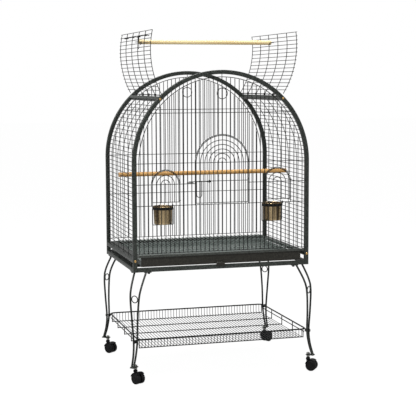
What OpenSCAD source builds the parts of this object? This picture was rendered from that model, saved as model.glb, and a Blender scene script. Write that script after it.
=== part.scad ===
// Arched bird cage on a wheeled stand, with an opening roof, doors, cups, tray and wire shelf.
// Millimetres, +Z up, front towards -Y, origin on the floor under the centre of the cage.

/* [Cage frame] */
// Outer width of the arched frames, along X
cage_w = 760; // [740:5:780]
// Outer depth over both arched frames, along Y
cage_d = 560; // [550:5:580]
// Height of the frame's underside above the floor
base_z = 456; // [446:2:466]
// Height of the straight posts, up to the start of the arch
post_h = 440; // [430:2:450]
// Side of the square frame tube
tube = 17; // [16.5:0.5:19]
// Wall of the square tubes
tube_wall = 1.5; // [1.2:0.1:2]
// Side of the slimmer shoulder bars
shoulder = 16; // [15:0.5:17]

/* [Bars] */
// Spacing of the upright bars of the front and rear panels
bar_pitch = 18.5; // [18.3:0.1:18.7]
// Diameter of the upright bars
bar_d = 3.2; // [2.8:0.1:3.4]
// Diameter of the cross wires
cross_d = 2.8; // [2.4:0.1:3]
// Diameter of the side and roof mesh wires
mesh_d = 2.6; // [2.2:0.1:2.8]
// Spacing of the side mesh wires
side_pitch = 17.6; // [17:0.1:18]

/* [Doors] */
// Height of the spring line of the main door's arch
door_spring_z = 897; // [890:1:904]
// Height of the lower edge of the main door
door_low_z = 729; // [728:1:734]
// Height of the centre of the feeder doors' arches
feeder_spring_z = 812; // [808:1:818]
// Height of the lower edge of the feeder doors
feeder_low_z = 737; // [735:1:742]

/* [Roof] */
// Opening angle of the left roof flap as it stands
left_open = 75.8; // [70:0.1:84]
// Opening angle of the right roof flap as it stands
right_open = 80.1; // [70:0.1:84]
// Radius of the roof flaps when closed
flap_r = 379; // [378.5:0.5:380]
// Diameter of the top perch
top_perch_d = 19; // [17:0.5:19]
// Height of the top perch's centre line
top_perch_z = 1396; // [1388:1:1398]

/* [Inside] */
// Diameter of the lower perch
perch_d = 19; // [15:0.5:20]
// Outer radius of a cup under its rim
cup_r = 39.5; // [38:0.1:39.5]
// Height of a cup
cup_h = 75; // [70:1:76]

/* [Stand] */
// Thickness of the leg rods
rod_d = 8.2; // [7.6:0.1:8.4]
// Height of the shelf's rim above the floor
shelf_rim_z = 180; // [176:1:184]
// Height of the shelf's floor wires
shelf_floor_z = 146; // [142:1:150]
// Spacing of the shelf's fine wires
shelf_pitch = 13.4; // [13:0.1:13.5]
// Diameter of the caster wheels
wheel_d = 46; // [44:1:46]

/* [Hidden] */
$fn = 48;

// Colours
frame_grey = [0.26, 0.28, 0.27];
wire_grey = [0.15, 0.16, 0.15];
tray_brown = [0.23, 0.22, 0.19];
grate_green = [0.36, 0.41, 0.39];
wood_pale = [0.92, 0.84, 0.62];
wood_orange = [0.85, 0.62, 0.35];
steel = [0.72, 0.70, 0.66];
brass = [0.78, 0.58, 0.30];
zinc = [0.66, 0.66, 0.62];
black = [0.06, 0.06, 0.06];

// Frame
half_w = cage_w / 2;
half_d = cage_d / 2;
bow_r = half_w - tube / 2;         // centre line of the arch tube
panel_y = half_d - tube / 2;       // centre plane of the front and rear panels
in_x = half_w - tube;              // inner faces of the frame
in_y = half_d - tube;
spring_z = base_z + post_h;
arc_fn = 180;                      // facets of a full turn on the large arcs
weld = 0.1;                        // air left where two pieces are welded end to face
touch = 0.3;                       // air at a bar's end on a curved wire
mid_z = base_z + 38;               // underside of the middle rails
shoulder_at = bow_r * cos(45);     // shoulder bars stand at 45 degrees on the arch
screw_d = 5;
screw_z = mid_z + tube / 2;

// Panels
layer = bar_d / 2 + cross_d / 2 + weld;      // from the bars' plane to the cross wires'
bars_each_side = 19;
edge_r = bars_each_side * bar_pitch;         // the outermost bar is the panel's own arch
front_low_z = base_z + 74;
rear_low_z = base_z + 71;
front_cross_z = [front_low_z, 725, 812, 898, 1102];
rear_cross_z = [rear_low_z, 727, 902, 1103];
door_r = 6 * bar_pitch;
door_gap = 4.2;                              // from the door's outer wire to the opening's
opening_r = door_r + door_gap;
feeder_x = 13 * bar_pitch;
feeder_r = 3 * bar_pitch;
feeder_opening_r = feeder_r + door_gap;
sill_z = front_cross_z[1];
ring_r = 21.9;
ring_z = 1180;

// Hinge eyes: small rings of wire round another wire
eye_wire = 2.4;
eye_r = bar_d / 2 + 0.6 + eye_wire / 2;

// Side mesh
side_x = bow_r;                                // plane of the long wires
side_layer = mesh_d + weld;
side_long_y = [-250, -150, -50, 50, 150, 250];
side_low_z = perch_level() - 18 * side_pitch;
side_out_x = side_x + side_layer;
side_rows = 37;
shoulder_gap = asin((shoulder / 2 + weld) / side_x);

// Roof
hinge_angle = 42.75;                           // from the vertical, seen from the arch's centre
hinge_x = flap_r * sin(hinge_angle);
hinge_z = spring_z + flap_r * cos(hinge_angle);
hinge_rod_d = 4;
flap_wire = 3;
flap_eye_r = hinge_rod_d / 2 + 0.4 + flap_wire / 2;
flap_tip = 1.9;
flap_rows = 16;
flap_step = 2.47;
flap_out_r = flap_r + flap_wire / 2 + mesh_d / 2 + weld;
flap_half_y = 292;
flap_inner_y = [-174, -58, 58, 174];           // long wires with eyes, between the arched frames
flap_outer_y = [-289.5, 289.5];                // long wires outside the frames' faces
latch_angle = flap_tip + 1.1 * flap_step;
latch_r = flap_r - flap_wire - 0.8;
cradle_wire = 2.5;
cradle_r = top_perch_d / 2 + 0.4 + cradle_wire / 2;
left_perch_gap = 13.5;                           // from the perch's ends to the mesh wires
right_perch_gap = 10;
left_mesh_x = flap_x_at(-1, left_open, top_perch_z);
right_mesh_x = flap_x_at(1, right_open, top_perch_z);
perch_left = left_mesh_x + flap_wire / 2 + left_perch_gap;
perch_right = right_mesh_x - flap_wire / 2 - right_perch_gap;

// Cups
cup_x = 238;
cup_y = -212;
cup_rim_z = 716.5;
cup_bead = 2;
cup_wall = 0.9;
band_r = cup_r + 0.9;
band_t = 3.2;
band_z = 704;
band_h = 10;
holder_wire = 3;

// Tray and grate
pan_x = 345;
grate_pitch = 16.5;
grate_z = base_z + 64;
grate_cross_z = grate_z - mesh_d / 2 - 1.6 - weld;
tray_z = base_z + 22.2;
tray_front_y = -half_d + 9.3;                   // the pan's front wall
tray_low_z = base_z + 20.5;
tray_high_z = base_z + 59;
strip_x = 357;                                 // the grate's front strip
strip_y = -half_d + 0.6;
sheet = 1.2;
pull_x = -12;
pull_w = 37;

// Stand
leg_x = 345;
leg_y = 255;
leg_ring_z = 348;
foot_z = 70;
stem_out = 46;                                 // stem's place along the leg's diagonal
stem_d = 8;
shelf_x = 366;
shelf_y = 291;
shelf_corner = 25;
shelf_rim_d = 6;
shelf_wire = 2.4;
shelf_long_d = 4;
shelf_long_z = shelf_floor_z - shelf_wire / 2 - shelf_long_d / 2 - weld;
collar_z = 172;
// Height, outward distance along the diagonal and half spacing of the two rods of a leg
leg_keys = [
    [base_z, 0, 27.5], [395, 34, 23.8], [leg_ring_z, 47, 20.5], [260, 47.5, 13.6],
    [collar_z, 44, 8.8], [118, 51, 6.2], [foot_z, 66, 4.8]
];

// Casters
trail = 16;
wheel_w = 16;
web_t = 7;
wheel_in = 4.3;
axle_d = 5;
neck_low = 47;
neck_top = 57;

function perch_level() = 835;
// Centre of a roof flap's curve when it stands open by the given angle
function arc_mid(side, open) =
    let (a = side * open, v = [-side * hinge_x, spring_z - hinge_z])
    [side * hinge_x + v[0] * cos(a) + v[1] * sin(a), hinge_z - v[0] * sin(a) + v[1] * cos(a)];
// X of a roof flap's wires at height z when it stands open by the given angle
function flap_x_at(side, open, z) =
    let (c = arc_mid(side, open))
    c[0] + side * sqrt(flap_r * flap_r - pow(z - c[1], 2));
// Height of an arch of radius r at distance x from its middle
function arch_top(r, x) = sqrt(r * r - x * x);
// Smooth curve through a list of points
function catmull(p0, p1, p2, p3, t) =
    0.5 * (2 * p1 + (p2 - p0) * t + (2 * p0 - 5 * p1 + 4 * p2 - p3) * t * t
        + (3 * p1 - p0 - 3 * p2 + p3) * t * t * t);
function smooth(keys, steps) = concat(
    [for (i = [0 : len(keys) - 2]) for (s = [0 : steps - 1])
        catmull(keys[max(i - 1, 0)], keys[i], keys[i + 1], keys[min(i + 2, len(keys) - 1)], s / steps)],
    [keys[len(keys) - 1]]
);
leg_path = smooth(leg_keys, 2);
// Half length at a given place of a line drawn round inside the shelf's rim line, an inset away
function rim_reach(along, half_along, half_across, inset) =
    let (past = abs(along) - (half_along - shelf_corner), r = shelf_corner - inset)
    half_across - shelf_corner + (past <= 0 ? r : sqrt(r * r - past * past));

module wire_x(x0, x1, y, z, d) {
    translate([x0, y, z]) rotate([0, 90, 0]) cylinder(h = x1 - x0, d = d);
}
module wire_y(y0, y1, x, z, d) {
    translate([x, y0, z]) rotate([-90, 0, 0]) cylinder(h = y1 - y0, d = d);
}
module wire_z(z0, z1, x, y, d) {
    translate([x, y, z0]) cylinder(h = z1 - z0, d = d);
}
// Straight rod between two points
module rod_between(a, b, d) {
    v = b - a;
    length = norm(v);
    translate(a) rotate([0, acos(v[2] / length), atan2(v[1], v[0])]) cylinder(h = length, d = d);
}
// Rod with round joints through a list of points
module bent_rod(points, d) {
    for (i = [0 : len(points) - 2]) rod_between(points[i], points[i + 1], d);
    for (i = [1 : len(points) - 2]) translate(points[i]) sphere(d = d + 0.4);
}
// Eye of wire whose axis runs along Z or along Y
module eye_z(r, d) { rotate_extrude() translate([r, 0]) circle(d = d); }
module eye_y(r, d) { rotate([90, 0, 0]) eye_z(r, d); }
module tube_profile(side) {
    difference() {
        square(side, center = true);
        square(side - 2 * tube_wall, center = true);
    }
}
// Square tube along Z, open at both ends
module tube_z(length, side) { linear_extrude(length) tube_profile(side); }
module tube_x(length, side) { rotate([0, 90, 0]) translate([0, 0, -length / 2]) tube_z(length, side); }
module tube_y(length, side) { rotate([90, 0, 0]) translate([0, 0, -length / 2]) tube_z(length, side); }

// ---- Frame ----
module arch_frame(y) {
    color(frame_grey) difference() {
        translate([0, y, 0]) {
            for (s = [-1, 1]) translate([s * bow_r, 0, base_z]) tube_z(post_h, tube);
            translate([0, 0, spring_z]) rotate([90, 0, 0])
                rotate_extrude(angle = 180, $fn = arc_fn) translate([bow_r, 0]) tube_profile(tube);
        }
        for (s = [-1, 1]) {
            translate([s * shoulder_at, y, spring_z + shoulder_at]) screw_hole();
            translate([s * bow_r, y, screw_z]) screw_hole();
        }
        for (x = y > 0 ? [-180, 180] : []) translate([x < 0 ? -bow_r : bow_r, y, screw_z]) screw_hole();
    }
}
module screw_hole() { rotate([90, 0, 0]) cylinder(h = tube + 2, d = screw_d + 0.4, center = true); }
module front_arch_frame() { arch_frame(-panel_y); }
module rear_arch_frame() { arch_frame(panel_y); }

// Rails between the posts; the lower ones are drilled for the legs' bolts
module lower_rails() {
    z = base_z + tube / 2;
    color(frame_grey) difference() {
        for (s = [-1, 1]) {
            translate([0, s * panel_y, z]) tube_x(2 * (in_x - weld), tube);
            translate([s * bow_r, 0, z]) tube_y(2 * (in_y - weld), tube);
        }
        for (sx = [-1, 1]) for (sy = [-1, 1]) leg_bolt_places(sx, sy) cylinder(h = 12, d = 6.4, center = true);
    }
}
module mid_rails() {
    color(frame_grey) {
        for (s = [-1, 1]) translate([s * bow_r, 0, screw_z]) tube_y(2 * (in_y - weld), tube);
        translate([0, panel_y, screw_z]) tube_x(2 * (in_x - weld), tube);
    }
}
module shoulder_bars() {
    color(frame_grey) for (s = [-1, 1])
        translate([s * shoulder_at, 0, spring_z + shoulder_at]) rotate([0, 45, 0])
            tube_y(2 * (in_y - weld), shoulder);
}
// Places of the screws: shoulders and middle rails, front and rear
module at_screws() {
    for (sy = [-1, 1]) for (sx = [-1, 1]) {
        translate([sx * shoulder_at, sy * half_d, spring_z + shoulder_at]) rotate([sy * 90, 0, 0]) children();
        translate([sx * bow_r, sy * half_d, screw_z]) rotate([sy * 90, 0, 0]) children();
    }
}
module frame_screws() {
    color(brass) at_screws() {
        translate([0, 0, weld - 0.05]) cylinder(h = tube + 12, d = screw_d);
        translate([0, 0, -2.4]) cylinder(h = 2.4, d1 = 6.4, d2 = 9.6);
    }
}
// Tapped plugs inside the ends of the bars that the screws hold
module tube_plugs() {
    color(zinc) for (sy = [-1, 1]) for (sx = [-1, 1]) {
        translate([sx * shoulder_at, sy * (in_y - 8), spring_z + shoulder_at]) rotate([0, 45, 0])
            plug(shoulder - 2 * tube_wall - 0.2);
        translate([sx * bow_r, sy * (in_y - 8), screw_z]) plug(tube - 2 * tube_wall - 0.2);
    }
}
module plug(side) {
    difference() {
        cube([side, 14, side], center = true);
        rotate([90, 0, 0]) cylinder(h = 16, d = screw_d + 0.2, center = true);
    }
}
// Angle strips inside the side rails that carry the tray and the grate
module runners() {
    color(frame_grey) for (s = [-1, 1]) {
        runner(s, base_z + 2, tray_z - 0.5);
        runner(s, mid_z + 2, grate_cross_z - 1.9);
    }
}
module runner(s, low, top) {
    inner = in_x - weld;
    rotate([90, 0, 0]) translate([0, 0, -(in_y - 2)]) linear_extrude(2 * (in_y - 2)) scale([s, 1])
        polygon([[inner, low], [inner, top], [338, top], [338, top - 1.5], [inner - 1.5, top - 1.5], [inner - 1.5, low]]);
}

// ---- Front panel ----
module at_front() { translate([0, -panel_y, 0]) children(); }
module at_rear() { translate([0, panel_y, 0]) children(); }
// Highest point of a bar under the panel's own arch
function bar_top(x) = spring_z + arch_top(edge_r - bar_d / 2 - touch, abs(x) + bar_d / 2);
// Lowest point of a bar that starts on an opening's arch
function over_arch(r, z, off) = z + arch_top(r + bar_d / 2 + touch, max(abs(off) - bar_d / 2, 0));
module front_bars() {
    color(wire_grey) at_front() for (k = [-bars_each_side + 1 : bars_each_side - 1]) {
        x = k * bar_pitch;
        off = abs(x) - feeder_x;
        low = front_low_z - cross_d / 2;
        if (abs(x) < opening_r) {
            wire_z(low, sill_z + 1.6, x, 0, bar_d);
            wire_z(over_arch(opening_r, door_spring_z, x), bar_top(x), x, 0, bar_d);
        } else if (abs(off) < feeder_opening_r) {
            wire_z(low, sill_z + 1.6, x, 0, bar_d);
            wire_z(over_arch(feeder_opening_r, feeder_spring_z, off), bar_top(x), x, 0, bar_d);
        } else {
            wire_z(low, bar_top(x), x, 0, bar_d);
        }
    }
}
// Half length of a cross wire, out to the frame tube
function cross_reach(z) = z <= spring_z ? in_x - weld : arch_top(in_x - 0.8, z - spring_z);
module front_cross_wires() {
    color(wire_grey) at_front() {
        for (z = [front_cross_z[0], front_cross_z[1], front_cross_z[4]])
            wire_x(-cross_reach(z), cross_reach(z), layer, z, cross_d);
        for (s = [0, 1]) mirror([s, 0, 0]) {
            wire_x(opening_r - 1.6, feeder_x - feeder_opening_r + 1.6, layer, front_cross_z[2], cross_d);
            wire_x(feeder_x + feeder_opening_r - 1.6, cross_reach(front_cross_z[2]), layer, front_cross_z[2], cross_d);
            wire_x(opening_r - 1.6, cross_reach(front_cross_z[3]), layer, front_cross_z[3], cross_d);
        }
    }
}
// Wire bent to an arch with straight legs, standing in the panel's plane
module arch_wire(r, z_spring, z_low, d) {
    translate([0, 0, z_spring]) rotate([90, 0, 0])
        rotate_extrude(angle = 180, $fn = arc_fn) translate([r, 0]) circle(d = d, $fn = 48);
    for (s = [-1, 1]) wire_z(z_low, z_spring, s * r, 0, d);
}
// Short wires that tie the panel's arch to the frame tube
module tie_wires() {
    for (a = [40, 90, 140]) translate([0, 0, spring_z]) rotate([0, 90 - a, 0])
        wire_z(edge_r + bar_d / 2 + touch, in_x - touch, 0, 0, cross_d);
}
module front_frame_wires() {
    color(wire_grey) at_front() {
        arch_wire(edge_r, spring_z, front_low_z - cross_d / 2, bar_d);
        tie_wires();
        arch_wire(opening_r, door_spring_z, sill_z - 1.4, bar_d);
        for (s = [-1, 1]) translate([s * feeder_x, 0, 0])
            arch_wire(feeder_opening_r, feeder_spring_z, sill_z - 1.4, bar_d);
        // Tongue that the door latch rests on
        translate([-152, -14, 815.6]) cube([26, 12, 2.5]);
    }
}

// ---- Rear panel ----
module rear_bars() {
    color(wire_grey) at_rear() for (k = [-bars_each_side + 1 : bars_each_side - 1])
        wire_z(rear_low_z - cross_d / 2, bar_top(k * bar_pitch), k * bar_pitch, 0, bar_d);
}
module rear_cross_wires() {
    color(wire_grey) at_rear() for (z = rear_cross_z) wire_x(-cross_reach(z), cross_reach(z), -layer, z, cross_d);
}
module rear_frame_wire() {
    color(wire_grey) at_rear() {
        arch_wire(edge_r, spring_z, rear_low_z - cross_d / 2, bar_d);
        tie_wires();
    }
}
// Round ornament near the top of each panel
module top_rings() {
    color(wire_grey) for (s = [-1, 1])
        translate([0, s * (panel_y + bar_d + weld), ring_z]) eye_y(ring_r, bar_d);
}

// ---- Side mesh ----
// Long wire: up the side, then, in a piece of its own, along the arch to the shoulder bar
module side_long_wire(y) {
    translate([0, y, 0]) {
        wire_z(mid_z + tube + weld, spring_z - weld, side_x, 0, mesh_d);
        translate([0, 0, spring_z]) rotate([90, 0, 0])
            rotate_extrude(angle = 45 - shoulder_gap, $fn = arc_fn) translate([side_x, 0]) circle(d = mesh_d, $fn = 48);
    }
}
// Row n of the cross mesh: up the side, then turned about the arch's centre
module side_cross_wire(n) {
    run = side_low_z + n * side_pitch;
    a = max(run - spring_z, 0) / side_out_x * 180 / PI;
    translate([0, 0, min(run, spring_z)]) rotate([0, -a, 0])
        wire_y(-in_y + weld, in_y - weld, side_out_x, 0, mesh_d);
}
module side_cross_wires() { for (n = [0 : side_rows - 1]) side_cross_wire(n); }
module left_long_wires() { color(wire_grey) mirror([1, 0, 0]) for (y = side_long_y) side_long_wire(y); }
module right_long_wires() { color(wire_grey) for (y = side_long_y) side_long_wire(y); }
module left_cross_wires() { color(wire_grey) mirror([1, 0, 0]) side_cross_wires(); }
module right_cross_wires() { color(wire_grey) side_cross_wires(); }

// ---- Roof ----
module roof_hinge_rods() {
    color(wire_grey) for (s = [-1, 1]) wire_y(-in_y + weld, in_y - weld, s * hinge_x, hinge_z, hinge_rod_d);
}
// Turns a closed roof piece open about its hinge, on the left (-1) or the right (1)
module opened(side, open) {
    translate([side * hinge_x, 0, hinge_z]) rotate([0, side * open, 0])
        translate([-side * hinge_x, 0, -hinge_z]) children();
}
module flap_long_wires(side) {
    for (y = flap_inner_y) translate([side * hinge_x, y, hinge_z]) eye_y(flap_eye_r, flap_wire);
    for (y = concat(flap_inner_y, flap_outer_y)) translate([0, y, 0]) {
        translate([0, 0, spring_z]) rotate([90, 0, 0]) mirror([side < 0 ? 1 : 0, 0, 0])
            rotate([0, 0, 90 - hinge_angle + 0.6])
                rotate_extrude(angle = hinge_angle - flap_tip - 0.6, $fn = arc_fn)
                    translate([flap_r, 0]) circle(d = flap_wire, $fn = 48);
    }
}
module flap_cross_wires(side) {
    for (j = [0 : flap_rows - 1]) translate([0, 0, spring_z]) rotate([0, side * (flap_tip + 0.25 + j * flap_step), 0])
        wire_y(-flap_half_y, flap_half_y, 0, flap_out_r, mesh_d);
}
// The left flap also has the eyes that the latch rod turns in
module left_flap_long_wires() {
    color(wire_grey) opened(-1, left_open) {
        flap_long_wires(-1);
        for (y = flap_inner_y) translate([0, y, spring_z]) rotate([0, -latch_angle, 0])
            translate([0, 0, latch_r]) eye_y(3.2, 2.4);
    }
}
module left_flap_cross_wires() { color(wire_grey) opened(-1, left_open) flap_cross_wires(-1); }
module right_flap_long_wires() { color(wire_grey) opened(1, right_open) flap_long_wires(1); }
module right_flap_cross_wires() { color(wire_grey) opened(1, right_open) flap_cross_wires(1); }
// Latch rod inside the left flap, with a bent tip at each end
module roof_latch_rod(y0, y1) {
    tip = 12;
    wire_y(y0, y1, 0, 0, flap_wire);
    for (y = [y0, y1]) {
        translate([0, y, 0]) sphere(d = flap_wire + 0.4);
        wire_z(-tip, 0, 0, y, flap_wire);
    }
}
module on_left_flap() {
    opened(-1, left_open) translate([0, 0, spring_z]) rotate([0, -latch_angle, 0]) translate([0, 0, latch_r]) children();
}
// The front latch also has a long loop to pull
module front_roof_latch() {
    loop_w = 20;
    loop_h = 42;
    loop_d = 2.6;
    color(wire_grey) on_left_flap() {
        roof_latch_rod(-182, -20);
        translate([0, -36, 0]) rotate([0, -8, 0]) {
            for (s = [-1, 1]) wire_x(-loop_h, 0, s * loop_w / 2, 0, loop_d);
            translate([-loop_h, 0, 0]) rotate([0, 0, 90])
                rotate_extrude(angle = 180) translate([loop_w / 2, 0]) circle(d = loop_d);
        }
    }
}
module rear_roof_latch() { color(wire_grey) on_left_flap() roof_latch_rod(20, 244); }
// Wire cradle on a flap that carries one end of the top perch
module perch_cradle(side, mesh_x, end_x) {
    inner = end_x - side * 9;
    color(wire_grey) translate([0, 0, top_perch_z]) {
        translate([inner, 0, 0]) rotate([0, 0, 90]) rotate([-90, 0, 0])
            rotate_extrude(angle = 180) translate([cradle_r, 0]) circle(d = cradle_wire);
        for (s = [-1, 1]) {
            wire_x(min(inner, mesh_x - side * 2), max(inner, mesh_x - side * 2), s * cradle_r, 0, cradle_wire);
            translate([inner, s * cradle_r, 0]) sphere(d = cradle_wire);
        }
    }
}
module left_perch_cradle() { perch_cradle(-1, left_mesh_x, perch_left); }
module right_perch_cradle() { perch_cradle(1, right_mesh_x, perch_right); }
module top_perch() { color(wood_pale) wire_x(perch_left, perch_right, 0, top_perch_z, top_perch_d); }

// ---- Doors ----
// Nested arch wires of a door, with its middle bar and its lower and spring cross wires
module door_mesh(count, spring, low, levels) {
    for (n = [1 : count]) arch_wire(n * bar_pitch, spring, low, bar_d);
    wire_z(low, spring + 6, 0, 0, bar_d);
    for (z = levels) wire_x(-count * bar_pitch, count * bar_pitch, layer, z, cross_d);
}
module hinge_eyes(x, levels) {
    for (z = levels) translate([x, 0, z]) eye_z(eye_r, eye_wire);
}
module main_door() {
    color(wire_grey) at_front() {
        door_mesh(6, door_spring_z, door_low_z, [door_low_z + 2, 821, door_spring_z]);
        hinge_eyes(opening_r, [827, 905]);
    }
}
module feeder_door(x) {
    color(wire_grey) at_front() translate([x, 0, 0]) {
        door_mesh(3, feeder_spring_z, feeder_low_z, [feeder_low_z + 2, feeder_spring_z]);
        hinge_eyes(feeder_opening_r, [745, 820]);
    }
}
module left_feeder_door() { feeder_door(-feeder_x); }
module right_feeder_door() { feeder_door(feeder_x); }
// Pin on the main door, and the lift latch that turns on it
latch_x = -3 * bar_pitch - 2;
latch_z = 821;
latch_y = -9;
module latch_pin() {
    color(wire_grey) at_front() translate([latch_x, 0, latch_z]) rotate([90, 0, 0]) {
        translate([0, 0, bar_d / 2 + weld]) cylinder(h = 12, d = 4);
        translate([0, 0, bar_d / 2 + weld + 12]) cylinder(h = 1.6, d = 8);
    }
}
module door_latch() {
    wire = 3.6;
    end = -146;
    color(wire_grey) at_front() translate([0, latch_y, latch_z]) {
        difference() {
            union() {
                translate([latch_x, 0, 0]) rotate([90, 0, 0]) cylinder(h = 5, d = 10, center = true);
                wire_x(end, latch_x, 0, 0, wire);
            }
            translate([latch_x, 0, 0]) rotate([90, 0, 0]) cylinder(h = 8, d = 4.4, center = true);
        }
        for (x = [-112, -90]) wire_z(-54, 0, x, 0, wire);
        translate([-101, 0, -54]) rotate([-90, 0, 0])
            rotate_extrude(angle = 180) translate([11, 0]) circle(d = wire);
        translate([end, 0, 0]) sphere(d = wire);
    }
}

// ---- Inside ----
// Perch with slotted ends that straddle a wire of each side mesh
module lower_perch() {
    z = perch_level();
    color(wood_orange) difference() {
        wire_x(-half_w + 2, half_w - 2, 0, z, perch_d);
        for (s = [-1, 1]) translate([s * half_w, 0, z]) cube([26, perch_d + 2, 4], center = true);
    }
}
// Band with two hooks over the sill wire and a bail under the cup
module cup_holder(x) {
    arm_y = -panel_y + layer + cross_d / 2 + holder_wire / 2 + 1 - cup_y;
    hook_z = sill_z + cross_d / 2 + holder_wire / 2 + 1;
    arm_z = band_z + band_h / 2;
    front_y = -panel_y - 0.5 - cup_y;
    bail_r = band_r + band_t + 1.2;
    bail_z = cup_rim_z + 2 - cup_h - 3;
    translate([x, cup_y, 0]) {
        translate([0, 0, band_z]) difference() {
            cylinder(h = band_h, r = band_r + band_t);
            translate([0, 0, -1]) cylinder(h = band_h + 2, r = band_r);
        }
        for (s = [-1, 1]) {
            px = s * 27.75;
            wire_y(arm_y, -32, px, arm_z, holder_wire);
            translate([px, arm_y, arm_z]) sphere(d = holder_wire);
            wire_z(arm_z, hook_z, px, arm_y, holder_wire);
            translate([px, arm_y, hook_z]) sphere(d = holder_wire);
            wire_y(front_y, arm_y, px, hook_z, holder_wire);
            translate([px, front_y, hook_z]) sphere(d = holder_wire);
            wire_z(hook_z - 9, hook_z, px, front_y, holder_wire);
            wire_z(bail_z, band_z + 4, s * bail_r, 0, holder_wire);
            translate([s * bail_r, 0, bail_z]) sphere(d = holder_wire);
        }
        wire_x(-bail_r, bail_r, 0, bail_z, holder_wire);
    }
}
module cup_holders() { color(black) for (s = [-1, 1]) cup_holder(s * cup_x); }
// Spun cup with a rolled rim
module cup(x) {
    low = cup_rim_z + cup_bead - cup_h;
    top = cup_rim_z;
    foot = cup_r - 2.6;
    color(steel) translate([x, cup_y, 0]) rotate_extrude() union() {
        polygon([
            [0, low], [foot - 2, low], [foot, low + 2], [cup_r, top], [cup_r, top + 1],
            [cup_r - cup_wall, top + 1], [foot - cup_wall, low + 2.5], [foot - 2.5, low + cup_wall], [0, low + cup_wall]
        ]);
        translate([cup_r + 1.2, top]) circle(r = cup_bead, $fn = 8);
    }
}
module left_cup() { cup(-cup_x); }
module right_cup() { cup(cup_x); }

// ---- Tray and grate ----
module tray() {
    depth = 522.3;
    color(tray_brown) {
        difference() {
            translate([-pan_x, tray_front_y, tray_z]) cube([2 * pan_x, depth, 21]);
            translate([-pan_x + sheet, tray_front_y + sheet, tray_z + sheet])
                cube([2 * (pan_x - sheet), depth - 2 * sheet, 25]);
        }
        // Front plate, from just over the rail up to the grate
        translate([-pan_x - 1, tray_front_y - 1.5, tray_low_z]) cube([2 * pan_x + 2, 1.6, tray_high_z - tray_low_z]);
        // Bent finger pull
        translate([pull_x - pull_w / 2, tray_front_y - 1.4, tray_low_z]) rotate([90, 0, 90]) linear_extrude(pull_w)
            polygon([[0, 11], [0, 9.2], [-14.2, 3.4], [-15, -6.5], [-16.4, -6.5], [-15.6, 4.8]]);
    }
}
module grate_wires() {
    color(grate_green) {
        for (k = [-20 : 20]) wire_y(strip_y + weld, in_y - 3, k * grate_pitch, grate_z, mesh_d);
        for (y = [-240, -120, 0, 120, 240]) wire_x(-pan_x, pan_x, y, grate_cross_z, 3.2);
    }
}
module grate_front() {
    color(tray_brown) translate([-strip_x, strip_y - 2.3, grate_z - 4.4]) cube([2 * strip_x, 2.3, 10]);
}

// ---- Stand ----
// Puts things in a leg's own frame: X outward along the diagonal, Y across it
module leg_frame(sx, sy) {
    translate([sx * leg_x, sy * leg_y, 0]) rotate([0, 0, atan2(sy, sx)]) children();
}
function leg_point(key, side) = [key[1], side * key[2], key[0]];
// Bolt holes beside the rods' tops, one under each of the two rails
module leg_bolt_places(sx, sy) {
    translate([sx * (leg_x - 31), sy * panel_y, base_z]) children();
    translate([sx * bow_r, sy * (leg_y - 31), base_z]) children();
}
module leg(sx, sy) {
    color(frame_grey) {
        leg_frame(sx, sy) {
            // the rods' tops end inside the plates, clear of the rails
            for (s = [-1, 1]) bent_rod([for (k = leg_path) leg_point(k, s) - [0, 0, k[0] == base_z ? 2.2 : 0]], rod_d);
            difference() {
                translate([38, -10, foot_z - 4]) cube([36, 20, 4]);
                translate([stem_out, 0, foot_z - 5]) cylinder(h = 6, d = stem_d + 0.2);
            }
        }
        // Plates that bolt under the rails
        difference() {
            union() {
                plate_under([sx * (leg_x - 26), sy * panel_y], [30, 16]);
                plate_under([sx * bow_r, sy * (leg_y - 26)], [16, 30]);
            }
            leg_bolt_places(sx, sy) cylinder(h = 12, d = 6.4, center = true);
        }
    }
}
module plate_under(centre, size) {
    translate([centre[0] - size[0] / 2, centre[1] - size[1] / 2, base_z - 3 - weld]) cube([size[0], size[1], 3]);
}
module front_left_leg() { leg(-1, -1); }
module front_right_leg() { leg(1, -1); }
module rear_left_leg() { leg(-1, 1); }
module rear_right_leg() { leg(1, 1); }
module leg_rings() {
    color(frame_grey) for (sx = [-1, 1]) for (sy = [-1, 1]) leg_frame(sx, sy)
        translate([47, 0, leg_ring_z]) rotate([0, 90, 0]) eye_z(14.1, 4.2);
}
// Bolts of the legs' plates, and the bolts that clamp the shelf between each pair of rods
module stand_bolts() {
    color(black) for (sx = [-1, 1]) for (sy = [-1, 1]) {
        leg_bolt_places(sx, sy) {
            translate([0, 0, -3 - 2 * weld - 5]) cylinder(h = 5, d = 11, $fn = 6);
            translate([0, 0, -4]) cylinder(h = 12, d = 6);
        }
        leg_frame(sx, sy) translate([44, 0, collar_z]) rotate([0, 90, 0]) {
            translate([0, 0, -9]) cylinder(h = 18, d = 6);
            translate([0, 0, 4.8]) cylinder(h = 4.4, d = 14);
            translate([0, 0, -9.2]) cylinder(h = 4.4, d = 14);
        }
    }
}
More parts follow.
